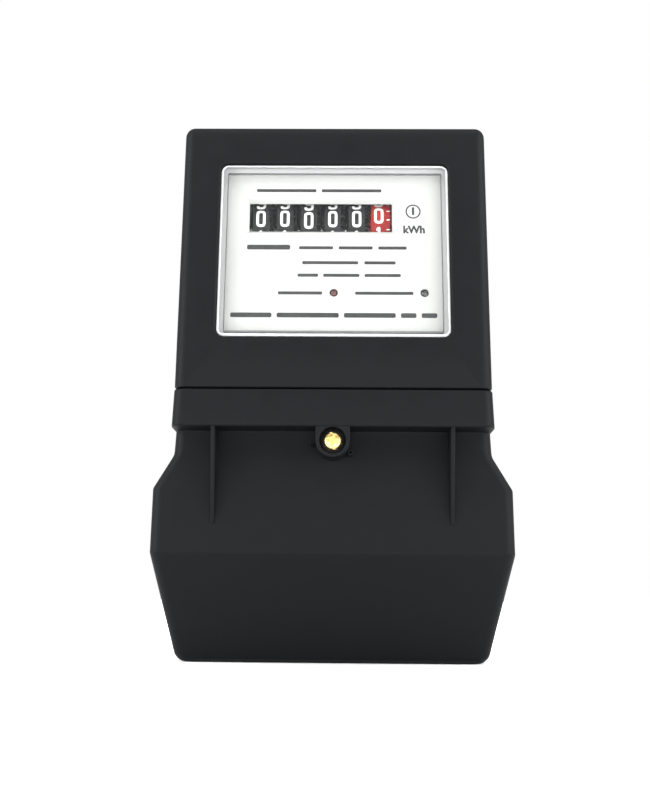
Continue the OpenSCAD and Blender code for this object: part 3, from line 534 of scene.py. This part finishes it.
def ribbon(bm, path, width, closed, centre, up):
    """A stripe of paint along a path, wrapped on the drum's rim."""
    dense = []
    count = len(path)
    for i in range(count if closed else count - 1):
        a, b = Vector(path[i]), Vector(path[(i + 1) % count])
        pieces = max(1, int((b - a).length / 0.5))
        dense += [a.lerp(b, k / pieces) for k in range(pieces)]
    if not closed:
        dense.append(Vector(path[-1]))
    n = len(dense)
    edges = []
    for i, p in enumerate(dense):
        before = dense[i - 1] if closed or i else p
        after = dense[(i + 1) % n] if closed or i < n - 1 else p
        along = (after - before).normalized()
        across = Vector((-along.y, along.x)) * width / 2
        edges.append((p + across, p - across))
    rows = [[bm.verts.new(on_drum(q.x, q.y + up, centre, lift)) for pair in edges for q in (pair[side],)]
            for side, lift in ((0, 0.02), (0, 0.07), (1, 0.07), (1, 0.02))]
    for a, b in zip(rows, rows[1:] + rows[:1]):
        for j in range(n if closed else n - 1):
            k = (j + 1) % n
            bm.faces.new((a[j], a[k], b[k], b[j]))
    if not closed:
        for j in (0, n - 1):
            bm.faces.new([row[j] for row in rows])


for i, node in enumerate(drums):
    last = i == len(drums) - 1
    width = (tenths_w if last else band_w) * mm
    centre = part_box(node)[1].x - gear_over - width / 2
    dress(node, drum_red if last else drum_black, edge=0.1)
    bm = bmesh.new()
    shift = tenths_shift if last else 0
    for digit, strokes in figures.items():
        up = figure_lift[i] - digit * 2 * math.pi * drum_r / mm / 10
        for points, closed in strokes:
            cell = [(x * half_w + shift, y * half_h) for x, y in points]
            ribbon(bm, round_path(cell, corner_r, closed), stroke, closed, centre, up)
    if last:
        for tick in range(20):
            up = figure_lift[i] + (tick + 0.5) * 2 * math.pi * drum_r / mm / 20
            ribbon(bm, [(x, 0) for x in tick_x], tick_w, False, centre, up)
    stamped = piece_from(bm, node + "_figures", node, [figure_white])

# ---------------------------------------------------------------------------------------------
# Transfer pinions and idler gear. Small natural acetal gears, moulded, which run loose on the
# pinion shaft and carry each drum's turn on to its neighbour.
# ---------------------------------------------------------------------------------------------
gear_plastic = finish("gear_plastic", (0.78, 0.75, 0.67), (0.70, 0.67, 0.59), (0.32, 0.42),
                      patch=2, grain=0.15, relief=0.004)
for node in ("pinion_ten_thousands", "pinion_thousands", "pinion_hundreds", "pinion_tens",
             "pinion_units", "idler_gear"):
    dress(node, gear_plastic, edge=0.06)

# ---------------------------------------------------------------------------------------------
# Counter motor and rotor. A small stepping motor in a drawn steel can, with a sintered magnet
# on its spindle and a gear that drives the register.
# ---------------------------------------------------------------------------------------------
motor_can = finish("motor_can", (0.60, 0.60, 0.58), (0.50, 0.50, 0.48), (0.28, 0.4),
                   patch=4, grain=0.1, relief=0.005, stretch=(8, 1, 1), Metallic=1.0)
rotor_magnet = finish("rotor_magnet", (0.24, 0.22, 0.20), (0.15, 0.14, 0.13), (0.4, 0.55),
                      patch=1, grain=0.1, relief=0.01, Metallic=0.7)
dress("counter_motor", motor_can, edge=0.3)
dress("motor_rotor", rotor_magnet, edge=0.06)

# ---------------------------------------------------------------------------------------------
# Circuit board. A green glass-epoxy board with solder mask over its copper tracks, screwed to
# four bosses on the base.
# ---------------------------------------------------------------------------------------------
board_laminate = finish("board_laminate", (0.030, 0.155, 0.065), (0.018, 0.105, 0.045), (0.25, 0.36),
                        patch=2.5, grain=0.5, relief=0.03, stretch=(6, 1, 1))
dress("circuit_board", board_laminate, edge=0.1)

# ---------------------------------------------------------------------------------------------
# Board components. A yellow boxed film capacitor, two sleeved cans, a dipped blue disc, a
# black chip, a plated crystal can and a pale optocoupler, all soldered to the board.
# ---------------------------------------------------------------------------------------------
component_looks = {
    "dropper_capacitor": ("film_case", (0.66, 0.47, 0.05), (0.56, 0.39, 0.04), (0.25, 0.35), 0.4, {}),
    "smoothing_capacitors": ("can_sleeve", (0.030, 0.045, 0.12), (0.018, 0.030, 0.085), (0.2, 0.3), 0.35, {}),
    "varistor": ("varistor_coat", (0.045, 0.13, 0.44), (0.030, 0.095, 0.34), (0.2, 0.32), 0.6, {}),
    "metering_chip": ("chip_epoxy", (0.026, 0.026, 0.027), (0.016, 0.016, 0.017), (0.5, 0.65), 0.05, {}),
    "crystal": ("crystal_can", (0.68, 0.68, 0.66), (0.56, 0.56, 0.55), (0.16, 0.26), 0.5, {"Metallic": 1.0}),
    "optocoupler": ("opto_epoxy", (0.74, 0.74, 0.70), (0.64, 0.64, 0.60), (0.4, 0.52), 0.1, {}),
}
for node, (name, light, dark, rough, edge, sockets) in component_looks.items():
    dress(node, finish(name, light, dark, rough, patch=3, grain=0.2, relief=0.006, **sockets), edge=edge)

# ---------------------------------------------------------------------------------------------
# Lamps. Two round epoxy lamps on long leads, one tinted red for reverse current and one smoky
# grey for the pulses. Both are unlit.
# ---------------------------------------------------------------------------------------------
red_lens = finish("red_lens", (0.07, 0.010, 0.008), (0.045, 0.006, 0.005), (0.08, 0.16),
                  patch=1.5, grain=0.3, relief=0.002, Coat_Weight=0.5)
grey_lens = finish("grey_lens", (0.035, 0.040, 0.035), (0.020, 0.024, 0.021), (0.08, 0.16),
                   patch=1.5, grain=0.3, relief=0.002, Coat_Weight=0.5)
dress("reverse_lamp", red_lens)
dress("pulse_lamp", grey_lens)

# ---------------------------------------------------------------------------------------------
# Terminal block. A solid dark phenolic moulding, pressed in one block, with a pocket for each
# brass terminal and a pillar for the cover screw's insert.
# ---------------------------------------------------------------------------------------------
block_bakelite = finish("block_bakelite", (0.016, 0.013, 0.011), (0.010, 0.008, 0.007), (0.42, 0.54),
                        patch=5, grain=0.6, relief=0.02, Specular_IOR_Level=0.2)
dress("terminal_block", block_bakelite, edge=0.35)

# ---------------------------------------------------------------------------------------------
# Terminals and clamp screws. Turned and drilled brass bodies, each with two slotted screws
# that clamp the wire, and a brass insert in the block's pillar.
# ---------------------------------------------------------------------------------------------
brass = finish("brass", (0.76, 0.56, 0.24), (0.62, 0.44, 0.17), (0.22, 0.36),
               patch=2.5, grain=0.12, relief=0.008, stretch=(1, 1, 5), Metallic=1.0)
plated_screw = finish("plated_screw", (0.78, 0.60, 0.25), (0.62, 0.45, 0.16), (0.26, 0.4),
                      patch=0.9, grain=0.12, relief=0.006, Metallic=1.0)
for k in range(1, 5):
    dress(f"terminal_{k}", brass, edge=0.3)
    for level in ("upper", "lower"):
        dress(f"clamp_screw_{k}_{level}", plated_screw, edge=0.2)
dress("cover_insert", brass, edge=0.15)

# ---------------------------------------------------------------------------------------------
# Shunt, neutral link and board leads. A brown resistance strip trimmed with a notch, a plain
# copper strip, and three sleeved pins that carry the measured signal to the board.
# ---------------------------------------------------------------------------------------------
shunt_alloy = finish("shunt_alloy", (0.52, 0.38, 0.27), (0.40, 0.29, 0.20), (0.3, 0.42),
                     patch=2, grain=0.1, relief=0.006, stretch=(6, 1, 1), Metallic=1.0)
link_copper = finish("link_copper", (0.74, 0.38, 0.22), (0.58, 0.28, 0.15), (0.26, 0.4),
                     patch=2, grain=0.1, relief=0.006, stretch=(6, 1, 1), Metallic=1.0)
lead_sleeve = finish("lead_sleeve", (0.46, 0.06, 0.045), (0.36, 0.045, 0.035), (0.35, 0.45),
                     patch=1, grain=0.1, relief=0.003)
dress("shunt", shunt_alloy, edge=0.15)
dress("neutral_link", link_copper, edge=0.15)
dress("board_leads", lead_sleeve, edge=0.1)

# ---------------------------------------------------------------------------------------------
# Terminal cover. A black moulded hood over the terminals, flush with the meter cover at its
# top, flared at its sides and sloping back to a foot with a cable slot. It lifts straight off.
# ---------------------------------------------------------------------------------------------
hood_low, hood_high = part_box("terminal_cover")
hood_top = hood_high.z / mm
hood_foot = hood_low.z / mm
hood_front = -hood_low.y / mm
flare_half = hood_high.x / mm
neck_half = case_half / mm + 0.8
foot_half = case_half / mm + 0.9
flush_foot = hood_top - 14.1
flare_top = hood_top - 23.1
flare_foot = flare_top - 13
ridge_z = hood_foot + 40.3
face_depth = hood_front - 10.5
ridge_depth = face_depth + 2.5
foot_depth = 20.0
hood_wall = 2.2
edge_r = 4.2
foot_r = 4.5
slot_half = 42.0
slot_depth = 16.0


def arc_path(points, radii, steps=6):
    """A path of (height, distance) points whose corners are true arcs of the radii given."""
    path = [points[0]]
    for a, b, c, r in zip(points, points[1:], points[2:], radii):
        a, b, c = Vector(a), Vector(b), Vector(c)
        u, w = (a - b).normalized(), (c - b).normalized()
        half = math.acos(max(-1, min(1, u.dot(w)))) / 2
        if r == 0 or half > math.radians(89.5):
            path.append(tuple(b))
            continue
        middle = b + (u + w).normalized() * (r / math.sin(half))
        p, q = b + u * (r / math.tan(half)) - middle, b + w * (r / math.tan(half)) - middle
        for k in range(steps + 1):
            path.append(tuple(middle + (p.lerp(q, k / steps)).normalized() * r))
    path.append(points[-1])
    return path


def along(path, z):
    """The distance at a height on a path that only goes down."""
    for (za, da), (zb, db) in zip(path, path[1:]):
        if zb - 1e-6 <= z <= za + 1e-6 and za - zb > 1e-6:
            return da + (db - da) * (za - z) / (za - zb)
    return path[-1][1]


sides = arc_path([(hood_top, neck_half - 0.7), (flare_top, neck_half), (flare_foot, flare_half),
                  (ridge_z, flare_half - 0.2), (hood_foot, foot_half), (hood_foot, 0)],
                 (6, 3, 2.5, foot_r), 8)
face = arc_path([(hood_top, hood_front - 3), (hood_top, hood_front), (flush_foot, hood_front),
                 (flush_foot, face_depth), (ridge_z, ridge_depth), (hood_foot + 1.2, foot_depth + 0.4),
                 (hood_foot, foot_depth + 0.4), (hood_foot, foot_depth - 3)],
                (0.7, 0.9, 0.6, 2.2, 0.5, 0.5), 5)
heights = sorted({round(z, 4) for z, _ in sides}, reverse=True)


def hood_section(z, half, depth, r):
    """The hood's section at one height, from the wall round the front and back to the wall."""
    r = min(r, depth - 1)
    points = [(half, (depth - r) * k / 6) for k in range(6)]
    for k in range(9):
        a = math.radians(90 * k / 8)
        points.append((half - r + r * math.cos(a), depth - r + r * math.sin(a)))
    count = 20
    points += [((half - r) * (1 - 2 * k / count), depth) for k in range(1, count)]
    for k in range(9):
        a = math.radians(90 + 90 * k / 8)
        points.append((-half + r + r * math.cos(a), depth - r + r * math.sin(a)))
    points += [(-half, (depth - r) * (1 - k / 6)) for k in range(1, 7)]
    return [Vector((x * mm, -d * mm, z * mm)) for x, d in points]


def hood_rings(path, inset, r):
    """The hood's sections from its top down along a face path, its sides moved in by inset."""
    steps = []
    for (za, da), (zb, db) in zip(path, path[1:]):
        steps.append((za, da))
        steps += [(z, da + (db - da) * (za - z) / (za - zb)) for z in heights if zb + 0.02 < z < za - 0.02]
    steps.append(path[-1])
    made = []
    for z, depth in steps:
        half = along(sides, max(z - inset, hood_foot + 0.02)) - inset
        if z < hood_foot + 0.01:
            half = foot_half - foot_r
        half = min(half, along(sides, z) - inset * 0.9)
        made.append(hood_section(z, half, depth, r if depth > 18 else r * 0.7))
    return made


slope = (ridge_depth - foot_depth) / (ridge_z - hood_foot)
inner_face = [(hood_top - hood_wall, 40), (hood_top - hood_wall, hood_front - hood_wall),
              (flush_foot + hood_wall, hood_front - hood_wall),
              (flush_foot + hood_wall, face_depth - hood_wall),
              (ridge_z, ridge_depth - hood_wall - 0.4),
              (hood_foot + hood_wall, foot_depth + 0.4 - 2.6 + slope * hood_wall / 2)]
outer_rings = [hood_section(hood_top, neck_half - hood_wall - 0.6, 37, 0.6)] + hood_rings(face, 0, edge_r)
outer_rings.append(hood_section(hood_foot, slot_half, slot_depth, 2))
inner_rings = [hood_section(hood_top - hood_wall, neck_half - hood_wall - 0.6, 37, 0.6)]
inner_rings += hood_rings(inner_face, hood_wall, edge_r - hood_wall)
inner_rings.append(hood_section(hood_foot + hood_wall, slot_half, slot_depth, 2))
loop = outer_rings + inner_rings[::-1] + outer_rings[:1]
bm = bmesh.new()
rows = loft(bm, loop, closed=False)
for end in (0, -1):
    cap(bm, [row[end] for row in rows[:-1]])

# The boss round the cover screw, joined to the band's underside, with a well and a seal hole
screw_low, screw_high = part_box("cover_screw")
boss_z = (screw_low.z + screw_high.z) / 2 / mm
boss_r = 6.4
boss_front = hood_front - 0.4
boss_edge = 0.5
boss_root = face_depth - 1.7
well_r = 5.0
well_edge = 0.4
well_floor = boss_front - 5
screw_hole_r = 2.0


def boss_outline(grow):
    """A half round below and straight sides up into the band, with 48 points."""
    points = []
    for k in range(48):
        a = math.radians(180 + 7.5 * k)
        r = boss_r + grow
        x, z = r * math.cos(a), r * math.sin(a)
        if z > 0:
            reach = flush_foot + 0.6 - boss_z
            scale = min(r / max(abs(math.cos(a)), 1e-6), reach / max(math.sin(a), 1e-6))
            x, z = scale * math.cos(a), scale * math.sin(a)
        points.append((x * mm, (boss_z + z) * mm))
    return points


def well_outline(r):
    """A round outline with points at the same bearings as the boss's outline."""
    return [(r * math.cos(math.radians(180 + 7.5 * k)) * mm,
             (boss_z + r * math.sin(math.radians(180 + 7.5 * k))) * mm) for k in range(48)]


rings = [ring(well_outline(screw_hole_r), boss_root * mm), ring(boss_outline(0), boss_root * mm),
         ring(boss_outline(0), (boss_front - boss_edge) * mm)]
for k in range(1, 4):
    a = math.radians(30 * k)
    rings.append(ring(boss_outline(-boss_edge * (1 - math.cos(a))),
                      (boss_front - boss_edge + boss_edge * math.sin(a)) * mm))
for k in range(4):
    a = math.radians(30 * k)
    rings.append(ring(well_outline(well_r + well_edge * (1 - math.sin(a))),
                      (boss_front - well_edge * (1 - math.cos(a))) * mm))
rings += [ring(well_outline(well_r), well_floor * mm), ring(well_outline(screw_hole_r), well_floor * mm),
          ring(well_outline(screw_hole_r), boss_root * mm)]
loft(bm, rings)

# A round eyelet and a square tab beside the boss, each bored for the wire of a seal. Each is
# given by its distance across and below the screw, half its size, its corners' radius, its
# bore's radius and its height above the face.
seal_sunk = 0.3
seal_chamfer = 0.25
seal_taper = 0.86
lean = (ridge_depth - face_depth) / (flush_foot - ridge_z)
for x, drop, half, corner, hole_r, height in (
        (-7.6, 0.6, 0.9, 0.85, 0.5, 1.4), (6.7, 3.6, 1.1, 0.4, 0.5, 3.0)):
    z = boss_z - drop
    base = face_depth + lean * (flush_foot - z)
    body = [(px + x * mm, pz + z * mm) for px, pz in
            outline(half * mm, (-half * mm, half * mm), (corner * mm, corner * mm), steps=6)]
    bore = []
    for px, pz in body:
        a = math.atan2(pz - z * mm, px - x * mm)
        bore.append(((x + hole_r * math.cos(a)) * mm, (z + hole_r * math.sin(a)) * mm))
    top = [(x * mm + (px - x * mm) * seal_taper, z * mm + (pz - z * mm) * seal_taper) for px, pz in body]
    loft(bm, [ring(body, (base - seal_sunk) * mm), ring(body, (base + height - seal_chamfer) * mm),
              ring(top, (base + height) * mm), ring(bore, (base + height) * mm),
              ring(bore, (base - seal_sunk) * mm), ring(body, (base - seal_sunk) * mm)])

# Two thin ribs that run down from the band and die out in the face
rib_x = 44.5
rib_half = 0.8
rib_edge = 0.45
rib_foot = ridge_z + 10.7
rib_end = face_depth + lean * (flush_foot - rib_foot)
for side in (-1, 1):
    outline_points = [(hood_front - 0.6, flush_foot + 0.5), (face_depth - 1, flush_foot + 0.5),
                      (rib_end - 0.5, rib_foot - 0.6), (rib_end + 0.3, rib_foot)]
    rib = bmesh.new()
    rows = loft(rib, [[Vector((side * rib_x * mm + dx * mm, -d * mm, z * mm)) for d, z in outline_points]
                      for dx in (-rib_half, rib_half)])
    cap(rib, rows[0])
    cap(rib, rows[1])
    bmesh.ops.recalc_face_normals(rib, faces=rib.faces)
    bmesh.ops.bevel(rib, geom=rib.edges[:], offset=rib_edge * mm, segments=3, affect="EDGES", profile=0.5)
    part = bpy.data.meshes.new("rib")
    rib.to_mesh(part)
    rib.free()
    bm.from_mesh(part)
hood = piece_from(bm, "terminal_cover_moulding", "terminal_cover", [black_plastic], nodes=("terminal_cover",))

# ---------------------------------------------------------------------------------------------
# Cover screw and washer. A yellow-plated screw, cold headed with a cross recess and notched at
# its rim, in the boss's well. A black fibre washer holds it captive in the hood.
# ---------------------------------------------------------------------------------------------
washer_fibre = finish("washer_fibre", (0.016, 0.016, 0.017), (0.009, 0.009, 0.0095), (0.6, 0.75),
                      patch=1.5, grain=0.1, relief=0.01, Specular_IOR_Level=0.2)
dress("screw_washer", washer_fibre, edge=0.1)
dress("cover_screw", plated_screw, edge=0.1)

# ---------------------------------------------------------------------------------------------
# Hanger plate. A punched zinc-plated steel strip that slides up out of the base's back, to
# hang the meter on a screw.
# ---------------------------------------------------------------------------------------------
hanger_steel = finish("hanger_steel", (0.66, 0.66, 0.63), (0.52, 0.52, 0.50), (0.26, 0.4),
                      patch=5, grain=0.25, relief=0.01, stretch=(1, 1, 5), Metallic=1.0)
dress("hanger_plate", hanger_steel, edge=0.15)

# ---------------------------------------------------------------------------------------------
# Studio. A plain pale floor that glows with painted light, with a painted shadow round the meter, and runs
# back under a white surround, with large soft lights at both sides and above, and the camera a little below
# the meter's middle, looking up.
# ---------------------------------------------------------------------------------------------
floor_mesh = bpy.data.meshes.new("floor")
floor_half = 30.0
floor_mesh.from_pydata([(-floor_half, -floor_half, 0), (floor_half, -floor_half, 0),
                        (floor_half, floor_half, 0), (-floor_half, floor_half, 0)], [], [(0, 1, 2, 3)])
floor = bpy.data.objects.new("floor", floor_mesh)
floor.location.z = cad_low.z - 0.1 * mm
floor_paper = finish("floor_paper", (0.93, 0.93, 0.93), (0.91, 0.91, 0.91), (0.7, 0.8),
                     patch=200, grain=1, relief=0.01, Emission_Color=(1, 1, 1, 1))
floor_mesh.materials.append(floor_paper)
bpy.context.scene.collection.objects.link(floor)

# The paper glows with painted light all over, fading to a painted shadow under and around the meter
tree = floor_paper.node_tree
place = tree.nodes.new("ShaderNodeTexCoord")
far = tree.nodes.new("ShaderNodeVectorMath")
far.operation = "LENGTH"
tree.links.new(place.outputs["Object"], far.inputs[0])
glow_and_painted_shadow = tree.nodes.new("ShaderNodeMapRange")
glow_and_painted_shadow.inputs["From Min"].default_value = 0.03
glow_and_painted_shadow.inputs["From Max"].default_value = 0.30
glow_and_painted_shadow.inputs["To Min"].default_value = 0.0
glow_and_painted_shadow.inputs["To Max"].default_value = 1.4
tree.links.new(far.outputs["Value"], glow_and_painted_shadow.inputs["Value"])
tree.links.new(glow_and_painted_shadow.outputs["Result"], tree.nodes["Principled BSDF"].inputs["Emission Strength"])

world = bpy.data.worlds.new("surround")
bpy.context.scene.world = world
world.use_nodes = True
tree = world.node_tree
direction = tree.nodes.new("ShaderNodeTexCoord")
split = tree.nodes.new("ShaderNodeSeparateXYZ")
tree.links.new(direction.outputs["Generated"], split.inputs["Vector"])
sweep = tree.nodes.new("ShaderNodeMapRange")
sweep.inputs["From Min"].default_value = -0.3
sweep.inputs["From Max"].default_value = 0.45
sweep.inputs["To Min"].default_value = 0.3
sweep.inputs["To Max"].default_value = 1.0
tree.links.new(split.outputs["Y"], sweep.inputs["Value"])
tree.links.new(sweep.outputs["Result"], tree.nodes["Background"].inputs["Strength"])
tree.nodes["Background"].inputs["Color"].default_value = (1, 1, 1, 1)

middle = (cad_low + cad_high) / 2


def softbox(name, place, width, height, power):
    """A large soft light that faces the meter."""
    light = bpy.data.lights.new(name, "AREA")
    light.shape = "RECTANGLE"
    light.size = width
    light.size_y = height
    light.energy = power
    lamp = bpy.data.objects.new(name, light)
    lamp.location = Vector(place)
    lamp.rotation_euler = (middle - lamp.location).to_track_quat("-Z", "Y").to_euler()
    bpy.context.scene.collection.objects.link(lamp)
    return lamp


softbox("left_box", (-0.75, -0.40, 0.20), 0.5, 0.9, 13)
softbox("right_box", (0.75, -0.40, 0.20), 0.5, 0.9, 13)
softbox("top_box", (0, -0.50, 0.85), 1.0, 0.6, 8)
softbox("front_strip", (0, -0.9, -0.02), 1.6, 0.12, 4.4)

camera_data = bpy.data.cameras.new("camera")
camera_data.lens = 40.6
camera_data.sensor_width = 36
camera = bpy.data.objects.new("camera", camera_data)
camera.location = (1.4 * mm, -381.3 * mm, -80.6 * mm)
tilt = math.radians(12.5)
yaw = math.radians(0.76)
sight = Vector((-math.sin(yaw) * math.cos(tilt), math.cos(yaw) * math.cos(tilt), math.sin(tilt)))
camera.rotation_mode = "QUATERNION"
camera.rotation_quaternion = (sight.to_track_quat("-Z", "Y").to_matrix()
                              @ Matrix.Rotation(math.radians(0.5), 3, "Z")).to_quaternion()
bpy.context.scene.collection.objects.link(camera)
bpy.context.scene.camera = camera
bpy.context.scene.view_settings.view_transform = "Standard"
